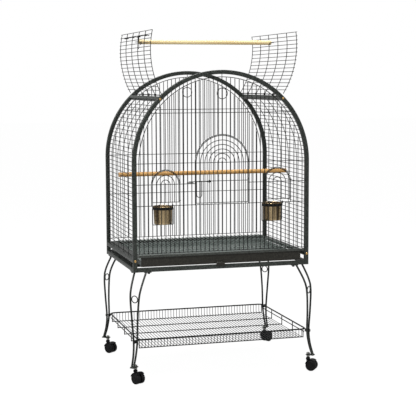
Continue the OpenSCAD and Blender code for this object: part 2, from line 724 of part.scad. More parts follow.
// Rim of the shelf, its lower side rails and the stubs that reach to the leg bolts
module shelf_rim() {
    straight_x = shelf_x - shelf_corner;
    straight_y = shelf_y - shelf_corner;
    color(wire_grey) {
        translate([0, 0, shelf_rim_z]) {
            for (s = [-1, 1]) {
                wire_x(-straight_x, straight_x, s * shelf_y, 0, shelf_rim_d);
                wire_y(-straight_y, straight_y, s * shelf_x, 0, shelf_rim_d);
            }
            for (q = [0 : 3]) {
                sx = q == 0 || q == 3 ? 1 : -1;
                sy = q < 2 ? 1 : -1;
                translate([sx * straight_x, sy * straight_y, 0]) rotate([0, 0, q * 90])
                    rotate_extrude(angle = 90) translate([shelf_corner, 0]) circle(d = shelf_rim_d);
            }
        }
        for (sx = [-1, 1]) for (sy = [-1, 1]) bent_rod([
            [sx * (shelf_x - 7.3), sy * (shelf_y - 7.3), shelf_rim_z],
            [sx * (leg_x + 22), sy * (leg_y + 22.4), shelf_rim_z - 2],
            [sx * (leg_x + 22), sy * (leg_y + 22.4), collar_z - 4]
        ], 4.4);
        for (s = [-1, 1]) wire_y(-straight_y, straight_y, s * shelf_x, shelf_floor_z + 17, shelf_long_d);
    }
}
module shelf_long_wires() {
    color(wire_grey) for (y = [-276, -138, 0, 138, 276]) {
        reach = rim_reach(y, shelf_y, shelf_x, shelf_rim_d / 2 + shelf_long_d / 2 + weld);
        wire_x(-reach + 2.2, reach - 2.2, y, shelf_long_z, shelf_long_d);
        for (s = [-1, 1]) wire_z(shelf_long_z - 2, shelf_rim_z + 1, s * reach, y, shelf_long_d);
    }
}
module shelf_cross_wires() {
    color(wire_grey) for (k = [-26 : 26]) {
        x = k * shelf_pitch;
        reach = rim_reach(x, shelf_x, shelf_y, shelf_rim_d / 2 + shelf_wire / 2 + weld);
        wire_y(-reach + 1.4, reach - 1.4, x, shelf_floor_z, shelf_wire);
        for (s = [-1, 1]) wire_z(shelf_floor_z - 1.2, shelf_rim_z + 1, x, s * reach, shelf_wire);
    }
}

// ---- Casters ----
// Corner, trail direction in degrees from +X
caster_turns = [["front_left", -1, -1, -62], ["front_right", 1, -1, -38], ["rear_left", -1, 1, -50], ["rear_right", 1, 1, 35]];
module stem_frame(sx, sy) {
    translate([sx * (leg_x + stem_out * cos(45)), sy * (leg_y + stem_out * sin(45)), 0]) children();
}
module caster_stems() {
    color(zinc) for (sx = [-1, 1]) for (sy = [-1, 1]) stem_frame(sx, sy)
        translate([0, 0, neck_low + 1.6]) cylinder(h = 78 - neck_low - 1.6, d = stem_d);
}
module caster_nuts() {
    color(zinc) for (sx = [-1, 1]) for (sy = [-1, 1]) stem_frame(sx, sy) {
        nut(foot_z + weld, 6);
        nut(foot_z - 4 - weld - 6.5, 6.5);
    }
}
module nut(z, h) {
    translate([0, 0, z]) difference() {
        cylinder(h = h, d = 15, $fn = 6);
        translate([0, 0, -1]) cylinder(h = h + 2, d = stem_d + 0.1);
    }
}
module caster_hood(sx, sy, turn) {
    axle_z = wheel_d / 2;
    width = 2 * (wheel_in + wheel_w);
    shade_r = axle_z + 1.6;
    color(black) stem_frame(sx, sy) rotate([0, 0, turn]) difference() {
        union() {
            translate([trail, 0, axle_z]) rotate([90, 0, 0]) cylinder(h = web_t, d = 30, center = true);
            translate([-7, -web_t / 2, 27]) cube([22, web_t, neck_low - 26]);
            translate([0, 0, neck_low]) cylinder(h = neck_top - neck_low, d = 17);
            translate([trail, 0, axle_z]) rotate([90, 0, 0]) rotate([0, 0, 52]) translate([0, 0, -width / 2])
                rotate_extrude(angle = 112) translate([shade_r, 0]) square([1.8, width]);
        }
        translate([0, 0, neck_low + 1]) cylinder(h = 12, d = stem_d + 0.6);
        translate([trail, 0, axle_z]) rotate([90, 0, 0]) cylinder(h = web_t + 2, d = axle_d + 0.3, center = true);
    }
}
module caster_wheels(sx, sy, turn) {
    axle_z = wheel_d / 2;
    color(black) stem_frame(sx, sy) rotate([0, 0, turn]) translate([trail, 0, axle_z]) rotate([90, 0, 0]) {
        for (s = [0, 1]) mirror([0, 0, s]) translate([0, 0, wheel_in]) rotate_extrude() polygon([
            [0, 1], [axle_z - 5, 1], [axle_z - 4, 0], [axle_z - 1, 0], [axle_z, 1.2], [axle_z, wheel_w - 4],
            [axle_z - 2.5, wheel_w - 1], [axle_z - 6, wheel_w], [0, wheel_w]
        ]);
        cylinder(h = 2 * wheel_in + 6, d = axle_d, center = true);
    }
}
module front_left_caster_hood() { caster_hood(-1, -1, caster_turns[0][3]); }
module front_left_caster_wheels() { caster_wheels(-1, -1, caster_turns[0][3]); }
module front_right_caster_hood() { caster_hood(1, -1, caster_turns[1][3]); }
module front_right_caster_wheels() { caster_wheels(1, -1, caster_turns[1][3]); }
module rear_left_caster_hood() { caster_hood(-1, 1, caster_turns[2][3]); }
module rear_left_caster_wheels() { caster_wheels(-1, 1, caster_turns[2][3]); }
module rear_right_caster_hood() { caster_hood(1, 1, caster_turns[3][3]); }
module rear_right_caster_wheels() { caster_wheels(1, 1, caster_turns[3][3]); }

front_arch_frame();
rear_arch_frame();
lower_rails();
mid_rails();
shoulder_bars();
frame_screws();
tube_plugs();
runners();
front_bars();
front_cross_wires();
front_frame_wires();
rear_bars();
rear_cross_wires();
rear_frame_wire();
left_long_wires();
left_cross_wires();
right_long_wires();
right_cross_wires();
top_rings();
roof_hinge_rods();
left_flap_long_wires();
left_flap_cross_wires();
left_perch_cradle();
front_roof_latch();
rear_roof_latch();
right_flap_long_wires();
right_flap_cross_wires();
right_perch_cradle();
top_perch();
main_door();
latch_pin();
door_latch();
left_feeder_door();
right_feeder_door();
lower_perch();
cup_holders();
left_cup();
right_cup();
tray();
grate_wires();
grate_front();
front_left_leg();
front_right_leg();
rear_left_leg();
rear_right_leg();
leg_rings();
stand_bolts();
shelf_rim();
shelf_long_wires();
shelf_cross_wires();
caster_stems();
caster_nuts();
front_left_caster_hood();
front_left_caster_wheels();
front_right_caster_hood();
front_right_caster_wheels();
rear_left_caster_hood();
rear_left_caster_wheels();
rear_right_caster_hood();
rear_right_caster_wheels();
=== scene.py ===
"""Bird cage on a wheeled stand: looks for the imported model, in metres, front towards -Y."""

import math

import bpy
from mathutils import Matrix, Vector


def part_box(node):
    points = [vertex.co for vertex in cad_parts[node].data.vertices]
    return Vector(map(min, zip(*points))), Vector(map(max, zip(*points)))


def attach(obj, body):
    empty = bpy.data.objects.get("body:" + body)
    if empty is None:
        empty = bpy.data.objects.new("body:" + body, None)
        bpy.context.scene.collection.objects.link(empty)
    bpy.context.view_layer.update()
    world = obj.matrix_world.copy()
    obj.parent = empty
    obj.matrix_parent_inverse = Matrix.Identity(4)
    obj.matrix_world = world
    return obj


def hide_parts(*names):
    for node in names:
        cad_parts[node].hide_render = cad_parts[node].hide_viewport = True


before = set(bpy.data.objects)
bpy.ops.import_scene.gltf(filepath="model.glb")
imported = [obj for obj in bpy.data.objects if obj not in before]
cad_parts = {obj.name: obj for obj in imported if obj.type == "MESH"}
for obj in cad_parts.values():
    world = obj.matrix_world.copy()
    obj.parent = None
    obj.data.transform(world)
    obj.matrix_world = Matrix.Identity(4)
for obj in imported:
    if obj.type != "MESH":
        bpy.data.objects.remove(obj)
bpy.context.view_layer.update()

# ---------------------------------------------------------------- numbers shared by the pieces
HALF_W, HALF_D = 0.380, 0.280
TUBE = 0.017
BASE_Z, SPRING_Z = 0.456, 0.896
BOW_R = HALF_W - TUBE / 2
PANEL_Y = HALF_D - TUBE / 2
LEG_X, LEG_Y = 0.345, 0.255
WHEEL_R, TRAIL = 0.023, 0.016
CORNERS = {
    "front_left": (-1, -1, -62), "front_right": (1, -1, -38),
    "rear_left": (-1, 1, -50), "rear_right": (1, 1, 35),
}


# ---------------------------------------------------------------- mesh building
class Shape:
    """Vertices and faces of one piece, filled by the add_ functions."""

    def __init__(self):
        self.verts = []
        self.faces = []

    def add(self, verts, faces):
        start = len(self.verts)
        self.verts.extend(Vector(v) for v in verts)
        self.faces.extend([start + i for i in f] for f in faces)

    def rings(self, rings, closed=False):
        """Joins equal rings of points with quads and closes the ends with fans of one face."""
        n = len(rings[0])
        verts = [p for ring in rings for p in ring]
        faces = []
        count = len(rings)
        for i in range(count if closed else count - 1):
            a, b = i * n, ((i + 1) % count) * n
            faces += [[a + j, a + (j + 1) % n, b + (j + 1) % n, b + j] for j in range(n)]
        if not closed:
            faces += [list(range(n))[::-1], [(count - 1) * n + j for j in range(n)]]
        self.add(verts, faces)

    def finish(self, name, body, material, node, slot, sharp=35):
        """Makes the object, lets it ride its body and puts it in place of a CAD node, if one is named."""
        mesh = bpy.data.meshes.new(name)
        mesh.from_pydata([tuple(v) for v in self.verts], [], self.faces)
        mesh.validate()
        mesh.polygons.foreach_set("use_smooth", [True] * len(mesh.polygons))
        mesh.set_sharp_from_angle(angle=math.radians(sharp))
        mesh.materials.append(material)
        obj = bpy.data.objects.new(name, mesh)
        bpy.context.scene.collection.objects.link(obj)
        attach(obj, body)
        if node:
            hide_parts(node)


def frames_along(points, closed=False, up=None):
    """Tangent, normal and binormal at each point of a path, turned as little as possible."""
    count = len(points)
    tangents = []
    for i in range(count):
        before = points[(i - 1) % count] if closed or i > 0 else points[i]
        after = points[(i + 1) % count] if closed or i < count - 1 else points[i]
        tangents.append((after - before).normalized())
    if up is None:
        up = Vector((0, 0, 1)) if abs(tangents[0].z) < 0.9 else Vector((0, 1, 0))
    normal = (up - tangents[0] * up.dot(tangents[0])).normalized()
    out = []
    for t in tangents:
        normal = (normal - t * normal.dot(t)).normalized()
        out.append((t, normal, t.cross(normal)))
    return out


def add_wire(shape, points, radius, sides=10, closed=False):
    """Round wire along a path, with domed ends unless it is closed."""
    points = [Vector(p) for p in points]
    angles = [2 * math.pi * j / sides for j in range(sides)]
    dome = (0.95, 0.6)
    rings = []

    def ring(centre, n, b, r):
        return [centre + (n * math.cos(a) + b * math.sin(a)) * r for a in angles]

    def cap(p, inward, n, b, steps):
        return [ring(p + inward * (1 - k) * 0.8, n, b, radius * math.sqrt(1 - k * k)) for k in steps]

    for i, (p, (t, n, b)) in enumerate(zip(points, frames_along(points, closed))):
        if not closed and i == 0:
            rings += cap(p, t * radius, n, b, dome) + [ring(p + t * radius, n, b, radius)]
        elif not closed and i == len(points) - 1:
            rings += [ring(p - t * radius, n, b, radius)] + cap(p, -t * radius, n, b, dome[::-1])
        else:
            rings.append(ring(p, n, b, radius))
    shape.rings(rings, closed)


def rounded_square(half_a, half_b, corner, steps=4):
    """Points of a rounded rectangle, counter-clockwise."""
    out = []
    for q, (sa, sb) in enumerate(((1, 1), (-1, 1), (-1, -1), (1, -1))):
        for i in range(steps + 1):
            a = math.radians(90 * q + 90 * i / steps)
            out.append((sa * (half_a - corner) + corner * math.cos(a),
                        sb * (half_b - corner) + corner * math.sin(a)))
    return out


def add_bar(shape, points, profile, up):
    """Sweeps a profile along a path that stays in one plane or is straight."""
    points = [Vector(p) for p in points]
    frames = frames_along(points, up=Vector(up))
    shape.rings([[p + n * u + b * v for u, v in profile] for p, (_, n, b) in zip(points, frames)])


def add_lathe(shape, profile, origin, axis, sides):
    """Turns (radius, height) points about an axis. Radius 0 at an end closes it."""
    axis = Vector(axis).normalized()
    side = axis.orthogonal().normalized()
    other = axis.cross(side)
    origin = Vector(origin)
    rings = [[origin + axis * h + (side * math.cos(a) + other * math.sin(a)) * max(r, 1e-5)
              for a in (2 * math.pi * j / sides for j in range(sides))] for r, h in profile]
    shape.rings(rings)


def add_box(shape, low, high, bevel, turn=None):
    """Box with chamfered edges, optionally transformed."""
    low, high = Vector(low), Vector(high)
    centre, half = (low + high) / 2, (high - low) / 2
    bevel = min(bevel, *(h * 0.45 for h in half))
    rings = []
    for z, inset in ((-half.z, bevel), (-half.z + bevel, 0), (half.z - bevel, 0), (half.z, bevel)):
        rings.append([(u, v, z) for u, v in rounded_square(half.x - inset, half.y - inset, bevel, 2)])
    place = Matrix.Translation(centre)
    if turn is not None:
        place = turn @ place
    shape.rings([[place @ Vector(p) for p in ring] for ring in rings])


def smooth_path(keys, steps):
    """Catmull-Rom curve through points."""
    keys = [Vector(k) for k in keys]
    out = []
    for i in range(len(keys) - 1):
        p0, p1 = keys[max(i - 1, 0)], keys[i]
        p2, p3 = keys[i + 1], keys[min(i + 2, len(keys) - 1)]
        for s in range(steps):
            t = s / steps
            out.append(0.5 * (2 * p1 + (p2 - p0) * t + (2 * p0 - 5 * p1 + 4 * p2 - p3) * t * t
                              + (3 * p1 - p0 - 3 * p2 + p3) * t ** 3))
    out.append(keys[-1])
    return out


def arc(centre, radius, a0, a1, steps):
    """Points of an upright arc that faces front, angles in degrees from +X."""
    angles = [math.radians(a0 + (a1 - a0) * i / steps) for i in range(steps + 1)]
    return [Vector(centre) + Vector((radius * math.cos(a), 0, radius * math.sin(a))) for a in angles]


# ---------------------------------------------------------------- materials
class Nodes:
    """Small helper round a material's node tree."""

    def __init__(self, name):
        self.mat = bpy.data.materials.new(name)
        self.mat.use_nodes = True
        self.tree = self.mat.node_tree
        self.shader = self.tree.nodes["Principled BSDF"]
        self.coord = self.tree.nodes.new("ShaderNodeTexCoord").outputs["Object"]

    def node(self, kind, **attributes):
        n = self.tree.nodes.new(kind)
        for key, value in attributes.items():
            setattr(n, key, value)
        return n

    def link(self, a, b):
        self.tree.links.new(a, b)

    def scaled(self, x, y, z):
        n = self.node("ShaderNodeMapping")
        n.inputs["Scale"].default_value = (x, y, z)
        self.link(self.coord, n.inputs["Vector"])
        return n.outputs["Vector"]

    def noise(self, scale, detail=3.0, vector=None, roughness=0.5):
        n = self.node("ShaderNodeTexNoise")
        n.inputs["Scale"].default_value = scale
        n.inputs["Detail"].default_value = detail
        n.inputs["Roughness"].default_value = roughness
        self.link(vector or self.coord, n.inputs["Vector"])
        return n.outputs["Fac"]

    def cells(self, scale):
        n = self.node("ShaderNodeTexVoronoi", feature="SMOOTH_F1")
        n.inputs["Scale"].default_value = scale
        n.inputs["Smoothness"].default_value = 0.6
        self.link(self.coord, n.inputs["Vector"])
        return n.outputs["Distance"]

    def ramp(self, fac, stops):
        n = self.node("ShaderNodeValToRGB")
        elements = n.color_ramp.elements
        while len(elements) < len(stops):
            elements.new(0.5)
        for element, (at, colour) in zip(elements, stops):
            element.position = at
            element.color = (*colour, 1)
        self.link(fac, n.inputs["Fac"])
        return n.outputs["Color"]

    def mix(self, fac, a, b):
        n = self.node("ShaderNodeMix", data_type="RGBA", blend_type="MIX")
        self.link(fac, n.inputs[0])
        for socket, value in ((n.inputs[6], a), (n.inputs[7], b)):
            if isinstance(value, tuple):
                socket.default_value = (*value, 1)
            else:
                self.link(value, socket)
        return n.outputs[2]

    def span(self, value, low, high, from_low=0.3, from_high=0.7):
        n = self.node("ShaderNodeMapRange")
        n.inputs["From Min"].default_value = from_low
        n.inputs["From Max"].default_value = from_high
        n.inputs["To Min"].default_value = low
        n.inputs["To Max"].default_value = high
        self.link(value, n.inputs["Value"])
        return n.outputs["Result"]

    def bump(self, height, strength, distance, under=None):
        n = self.node("ShaderNodeBump")
        n.inputs["Strength"].default_value = strength
        n.inputs["Distance"].default_value = distance
        self.link(height, n.inputs["Height"])
        if under is not None:
            self.link(under, n.inputs["Normal"])
        return n.outputs["Normal"]

    def done(self, colour, rough, normal, **shader):
        self.link(colour, self.shader.inputs["Base Color"])
        self.link(rough, self.shader.inputs["Roughness"])
        self.link(normal, self.shader.inputs["Normal"])
        for key, value in shader.items():
            self.shader.inputs[key.replace("_", " ")].default_value = value
        return self.mat


def hammertone(name, dark, mid, light, cell=260.0):
    """Hammered enamel: dimples, pale flecks in the paint and slow changes of tone."""
    n = Nodes(name)
    dimples = n.cells(cell)
    flecks = n.noise(420, 4, roughness=0.65)
    blotch = n.noise(60, 3)
    base = n.ramp(flecks, [(0.30, dark), (0.52, mid), (0.72, light)])
    toned = n.mix(n.span(blotch, 0.0, 0.45), base, dark)
    rings = n.mix(n.span(dimples, 0.0, 0.35, 0.25, 0.75), toned, light)
    relief = n.bump(n.noise(900, 2), 0.12, 0.0003)
    return n.done(rings, n.span(flecks, 0.28, 0.46), n.bump(dimples, 0.5, 0.0006, relief),
                  Metallic=0.25, Coat_Weight=0.12, Coat_Roughness=0.18, Specular_IOR_Level=0.32)


def wire_enamel(name, dark, light):
    """The same enamel on thin wire: finer flecks, less relief."""
    n = Nodes(name)
    flecks = n.noise(700, 3, roughness=0.6)
    blotch = n.noise(30, 2)
    base = n.ramp(flecks, [(0.34, dark), (0.70, light)])
    return n.done(n.mix(n.span(blotch, 0.0, 0.5), base, dark), n.span(flecks, 0.30, 0.48),
                  n.bump(n.cells(520), 0.35, 0.0003), Metallic=0.25, Coat_Weight=0.1, Coat_Roughness=0.2,
                  Specular_IOR_Level=0.3)


def dowel_wood(name, pale, deep, streak, lengthways):
    """Straight-grained dowel along X: long fibres, darker pores and a soft figure."""
    n = Nodes(name)
    fibre = n.noise(1.0, 5, n.scaled(14, 900, 900), 0.6)
    figure = n.noise(1.0, 3, n.scaled(lengthways, 120, 120), 0.55)
    pores = n.noise(1.0, 2, n.scaled(90, 2600, 2600), 0.7)
    base = n.ramp(figure, [(0.30, deep), (0.55, pale), (0.80, pale)])
    fibres = n.mix(n.span(fibre, 0.0, 0.55, 0.35, 0.75), base, deep)
    lines = n.mix(n.span(pores, 0.0, 0.5, 0.60, 0.80), fibres, streak)
    return n.done(lines, n.span(fibre, 0.50, 0.66), n.bump(fibre, 0.25, 0.0004), Specular_IOR_Level=0.35)


def spun_steel(name, steel_and_painted_gold, dark):
    """Polished steel with fine lines round it. Its gold colour is partly the steel's own tone and partly
    painted reflection, and painted dark reflection bands run up its sides.
    """
    n = Nodes(name)
    lines = n.noise(1.0, 2, n.scaled(60, 60, 2600), 0.6)
    # painted reflection: wide bands of the dark colour up the sides, over the gold, stand in for what the
    # steel reflects
    painted_reflection_bands = n.noise(1.0, 3, n.scaled(42, 42, 3), 0.55)
    colour = n.mix(n.span(painted_reflection_bands, 0.0, 0.9, 0.44, 0.60), steel_and_painted_gold, dark)
    return n.done(colour, n.span(lines, 0.10, 0.22), n.bump(lines, 0.12, 0.0002),
                  Metallic=1.0, Anisotropic=0.5)


def plated(name, colour, shade, rough):
    """Thin bright plating with a slight cloudiness."""
    n = Nodes(name)
    cloud = n.noise(500, 3)
    return n.done(n.mix(n.span(cloud, 0.0, 0.6), colour, shade), n.span(cloud, rough, rough + 0.15),
                  n.bump(n.noise(1600, 2), 0.1, 0.0002), Metallic=1.0)


def moulded(name, colour, light, rough, grain):
    """Moulded plastic with a fine spark-eroded grain."""
    n = Nodes(name)
    fine = n.noise(grain, 2)
    tone = n.noise(80, 2)
    return n.done(n.mix(n.span(tone, 0.0, 0.6), colour, light), n.span(fine, rough, rough + 0.14),
                  n.bump(fine, 0.22, 0.0002), Specular_IOR_Level=0.16)


M = {
    "frame": hammertone("frame_enamel", (0.002, 0.003, 0.0025), (0.010, 0.0125, 0.011),
                        (0.11, 0.125, 0.11)),
    # painted shade: the rod enamel is a darker copy of the frame enamel, for the legs under the cage
    "rod": hammertone("rod_painted_shade_enamel", (0.003, 0.0035, 0.003), (0.009, 0.011, 0.0095), (0.07, 0.08, 0.07)),
    "wire": wire_enamel("wire_enamel", (0.003, 0.0035, 0.003), (0.015, 0.018, 0.016)),
    "tray": hammertone("tray_enamel", (0.006, 0.0055, 0.004), (0.016, 0.015, 0.0115),
                       (0.055, 0.052, 0.041), 220),
    # painted light: the grate strip's enamel is a lighter copy of the tray enamel
    "grate_lip": hammertone("grate_lip_painted_light_enamel", (0.012, 0.013, 0.011), (0.040, 0.042, 0.037),
                            (0.12, 0.13, 0.12), 220),
    # painted light: the pale tones of the grate and the pan stand in for light and reflections on the
    # floor's glossy black top faces; the pan's enamel is a lit copy of the tray enamel
    "grate": wire_enamel("grate_enamel", (0.085, 0.105, 0.096), (0.34, 0.39, 0.365)),
    "pan": hammertone("pan_painted_light_enamel", (0.06, 0.072, 0.067), (0.15, 0.175, 0.163), (0.40, 0.44, 0.42), 160),
    "pale": dowel_wood("pale_dowel", (0.80, 0.67, 0.38), (0.60, 0.42, 0.18), (0.36, 0.21, 0.07), 3.0),
    "orange": dowel_wood("warm_dowel", (0.66, 0.39, 0.14), (0.42, 0.20, 0.05), (0.20, 0.08, 0.02), 3.5),
    # the cup's gold tint and its dark bands are painted reflections on the steel
    "cup": spun_steel("cup_steel", (0.62, 0.47, 0.27), (0.16, 0.11, 0.06)),
    "brass": plated("brass_screw", (0.78, 0.52, 0.22), (0.50, 0.31, 0.11), 0.2),
    "zinc": plated("zinc_plate", (0.34, 0.34, 0.32), (0.20, 0.20, 0.185), 0.3),
    "black": moulded("holder_black", (0.006, 0.006, 0.006), (0.018, 0.018, 0.018), 0.25, 900),
    "hood": moulded("caster_plastic", (0.003, 0.003, 0.0035), (0.008, 0.008, 0.009), 0.34, 1400),
    "wheel": moulded("wheel_plastic", (0.004, 0.004, 0.0045), (0.010, 0.010, 0.011), 0.48, 1400),
}

# The look of every CAD node. Those with a finer visible piece below are replaced by it.
CAD_LOOKS = {
    "wire": ["front_bars", "front_cross_wires", "front_frame_wires",
             "rear_bars", "rear_cross_wires", "rear_frame_wire",
             "left_long_wires", "left_cross_wires", "right_long_wires", "right_cross_wires",
             "top_rings", "roof_hinge_rods", "front_roof_latch", "rear_roof_latch",
             "left_flap_long_wires", "left_flap_cross_wires", "left_perch_cradle",
             "right_flap_long_wires", "right_flap_cross_wires", "right_perch_cradle",
             "main_door", "latch_pin", "door_latch", "left_feeder_door", "right_feeder_door",
             "shelf_rim", "shelf_long_wires", "shelf_cross_wires"],
    "frame": ["front_arch_frame", "rear_arch_frame", "lower_rails", "mid_rails", "shoulder_bars", "runners",
              "front_left_leg", "front_right_leg", "rear_left_leg", "rear_right_leg", "leg_rings"],
    "black": ["cup_holders", "stand_bolts"],
    "brass": ["frame_screws"], "zinc": ["tube_plugs", "caster_stems", "caster_nuts"],
    "pale": ["top_perch"], "orange": ["lower_perch"], "cup": ["left_cup", "right_cup"],
    "tray": ["tray", "grate_front"], "grate": ["grate_wires"],
    "hood": [f"{c}_caster_hood" for c in CORNERS], "wheel": [f"{c}_caster_wheels" for c in CORNERS],
}
for key, names in CAD_LOOKS.items():
    for name in names:
        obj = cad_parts[name]
        mesh = obj.data
        mesh.materials.clear()
        mesh.materials.append(M[key])
        mesh.polygons.foreach_set("use_smooth", [True] * len(mesh.polygons))
        mesh.set_sharp_from_angle(angle=math.radians(35))


# ---------------------------------------------------------------- frame tubes
SQUARE = rounded_square(TUBE / 2, TUBE / 2, 0.0024)
SHOULDER_SQUARE = rounded_square(0.008, 0.008, 0.0018)
SHOULDER_AT = BOW_R * math.cos(math.radians(45))
GAP = 0.0001
INNER_X, INNER_Y = HALF_W - TUBE - GAP, HALF_D - TUBE - GAP
SCREW_Z = 0.5025


def arched_frame(name, y):
    """One arched frame: a square tube up the left, over the top and down the right."""
    s = Shape()
    foot_z = BASE_Z + 0.002
    path = [Vector((-BOW_R, y, BASE_Z)), Vector((-BOW_R, y, foot_z))]
    path += arc((0, y, SPRING_Z), BOW_R, 180, 0, 96)
    path += [Vector((BOW_R, y, foot_z)), Vector((BOW_R, y, BASE_Z))]
    add_bar(s, path, SQUARE, (0, 1, 0))
    s.finish(name + "_tube", "cage_and_stand", M["frame"], name, "frame_enamel")


def straight_bars():
    """Rails, and the shoulder bars, which are slimmer and turned on edge."""
    lower, middle, shoulder = Shape(), Shape(), Shape()
    rail_z = BASE_Z + TUBE / 2
    for s in (-1, 1):
        y, x = s * PANEL_Y, s * BOW_R
        add_bar(lower, [(-INNER_X, y, rail_z), (0, y, rail_z), (INNER_X, y, rail_z)], SQUARE, (0, 0, 1))
        add_bar(lower, [(x, -INNER_Y, rail_z), (x, 0, rail_z), (x, INNER_Y, rail_z)], SQUARE, (0, 0, 1))
        add_bar(middle, [(x, -INNER_Y, SCREW_Z), (x, 0, SCREW_Z), (x, INNER_Y, SCREW_Z)], SQUARE, (0, 0, 1))
        z = SPRING_Z + SHOULDER_AT
        x = s * SHOULDER_AT
        add_bar(shoulder, [(x, -INNER_Y, z), (x, 0, z), (x, INNER_Y, z)], SHOULDER_SQUARE, (1, 0, 1))
    add_bar(middle, [(-INNER_X, PANEL_Y, SCREW_Z), (0, PANEL_Y, SCREW_Z), (INNER_X, PANEL_Y, SCREW_Z)],
            SQUARE, (0, 0, 1))
    lower.finish("lower_rail_tubes", "cage_and_stand", M["frame"], "lower_rails", "frame_enamel")
    middle.finish("middle_rail_tubes", "cage_and_stand", M["frame"], "mid_rails", "frame_enamel")
    shoulder.finish("shoulder_bar_tubes", "cage_and_stand", M["frame"], "shoulder_bars", "frame_enamel")


def add_cross_head(shape, origin, axis, radius, height):
    """Pan screw head with a cross-shaped recess: its rings sink where they cross either slot."""
    axis = Vector(axis).normalized()
    side = axis.orthogonal().normalized()
    other = axis.cross(side)
    origin = Vector(origin)
    sides, rings = 48, []
    slot_reach, slot_half = 0.52 * radius, 0.13 * radius
    radii = [radius * k for k in (1.0, 1.0, 0.93, 0.8, 0.66, 0.56, 0.5, 0.44, 0.36, 0.28, 0.2, 0.12, 0.04)]
    for i, r in enumerate(radii):
        ring = []
        for j in range(sides):
            a = 2 * math.pi * j / sides
            u, v = r * math.cos(a), r * math.sin(a)
            h = 0 if i == 0 else height * (0.45 + 0.55 * math.sqrt(max(0, 1 - (r / radius) ** 2)))
            if r < slot_reach and min(abs(u), abs(v)) < slot_half:
                h -= 0.45 * height
            ring.append(origin + axis * h + side * u + other * v)
        rings.append(ring)
    shape.rings(rings)


def screws():
    """Screws at the shoulders and at the ends of the middle rails: washer, head and shank."""
    washer = [(0.0026, 0), (0.0044, 0), (0.0048, 0.0002), (0.0048, 0.0006), (0.0026, 0.0008)]
    shank = [(0, -0.0315), (0.0018, -0.0315), (0.0025, -0.0305), (0.0025, 0.0007), (0, 0.0007)]
    head_r, head_high, head_seat = 0.0039, 0.0016, 0.0007
    s = Shape()
    for sy in (-1, 1):
        for sx in (-1, 1):
            for x, z in ((SHOULDER_AT, SPRING_Z + SHOULDER_AT), (BOW_R, SCREW_Z)):
                face = Vector((sx * x, sy * HALF_D, z))
                out = Vector((0, sy, 0))
                add_lathe(s, washer, face, out, 40)
                add_cross_head(s, face + out * head_seat, out, head_r, head_high)
                add_lathe(s, shank, face, out, 24)
    s.finish("frame_screw_heads", "cage_and_stand", M["brass"], "frame_screws", "brass_screw", 40)


# ---------------------------------------------------------------- legs
# a rod's bends, as height, distance out along the corner's diagonal, distance to either side of it
LEG_BENDS = [(0.456, 0, 0.0275), (0.395, 0.034, 0.0238), (0.348, 0.047, 0.0205), (0.260, 0.0475, 0.0136),
             (0.172, 0.044, 0.0088), (0.118, 0.051, 0.0062), (0.070, 0.066, 0.0048)]
ROD_R = 0.0041
RING_OUT, RING_Z, RING_R, RING_WIRE_R = 0.047, 0.348, 0.0141, 0.0021


def leg_turn(sx, sy):
    """From a leg's own axes, X along the corner's diagonal, to the cage's."""
    return Matrix.Translation((sx * LEG_X, sy * LEG_Y, 0)) @ Matrix.Rotation(math.atan2(sy, sx), 4, "Z")


def leg(corner):
    """Two bent rods, the foot plate with its weld beads, and the plates under the rails."""
    sx, sy, _ = CORNERS[corner]
    place = leg_turn(sx, sy)
    s = Shape()
    for side in (-1, 1):
        path = smooth_path([(u, side * v, z) for z, u, v in LEG_BENDS], 8)
        path[0].z -= GAP
        add_wire(s, [place @ p for p in path], ROD_R, 16)
    add_box(s, (0.038, -0.010, 0.066), (0.074, 0.010, 0.070), 0.0012, place)
    bead = [(0.001, -0.002), (0.0058, -0.0012), (0.0062, 0.0006), (0.0046, 0.0022), (0.001, 0.003)]
    for side in (-1, 1):
        add_lathe(s, bead, place @ Vector((0.066, side * 0.0048, 0.0702)), (0, 0, 1), 20)
    inset, long_half, short_half, thick_half = 0.026, 0.015, 0.008, 0.0015
    plates = ((LEG_X - inset, PANEL_Y, long_half, short_half),
              (BOW_R, LEG_Y - inset, short_half, long_half))
    for cx, cy, hx, hy in plates:
        centre = Vector((sx * cx, sy * cy, BASE_Z - thick_half - GAP))
        half = Vector((hx, hy, thick_half))
        add_box(s, centre - half, centre + half, 0.0008)
    s.finish(corner + "_leg_rods", "cage_and_stand", M["rod"], corner + "_leg", "frame_enamel", 40)


def leg_ring_wires():
    """The ring between each leg's two rods."""
    s = Shape()
    for sx, sy, _ in CORNERS.values():
        place = leg_turn(sx, sy)
        path = [place @ Vector((RING_OUT, RING_R * math.cos(a), RING_Z + RING_R * math.sin(a)))
                for a in (2 * math.pi * i / 40 for i in range(40))]
        add_wire(s, path, RING_WIRE_R, 12, closed=True)
    s.finish("leg_ring_wires", "cage_and_stand", M["rod"], "leg_rings", "frame_enamel")


# ---------------------------------------------------------------- casters
STEM_OUT = 0.046
FENDER_HALF_W, FENDER_IN_R, FENDER_OUT_R, FENDER_DROP = 0.0203, 0.0243, 0.0264, 0.0016
FENDER_FROM, FENDER_TURN = 50, 116
WEB_HALF = 0.0034
# one wheel, as radius and distance from the middle: inner face, tread, rim ring and domed cap
WHEEL_SIDE = [
    (0.0008, 0.0052), (0.018, 0.0052), (0.0190, 0.0043), (0.0220, 0.0043), (0.0228, 0.0050),
    (0.0230, 0.0062), (0.0230, 0.0160), (0.0226, 0.0176), (0.0216, 0.0188), (0.0200, 0.0195),
    (0.0184, 0.0200), (0.0180, 0.0203), (0.0172, 0.0203), (0.0168, 0.0194), (0.0120, 0.0188),
    (0.0080, 0.0190), (0.0076, 0.0200), (0.0060, 0.0202), (0.0030, 0.0203), (0.0008, 0.0203),
]
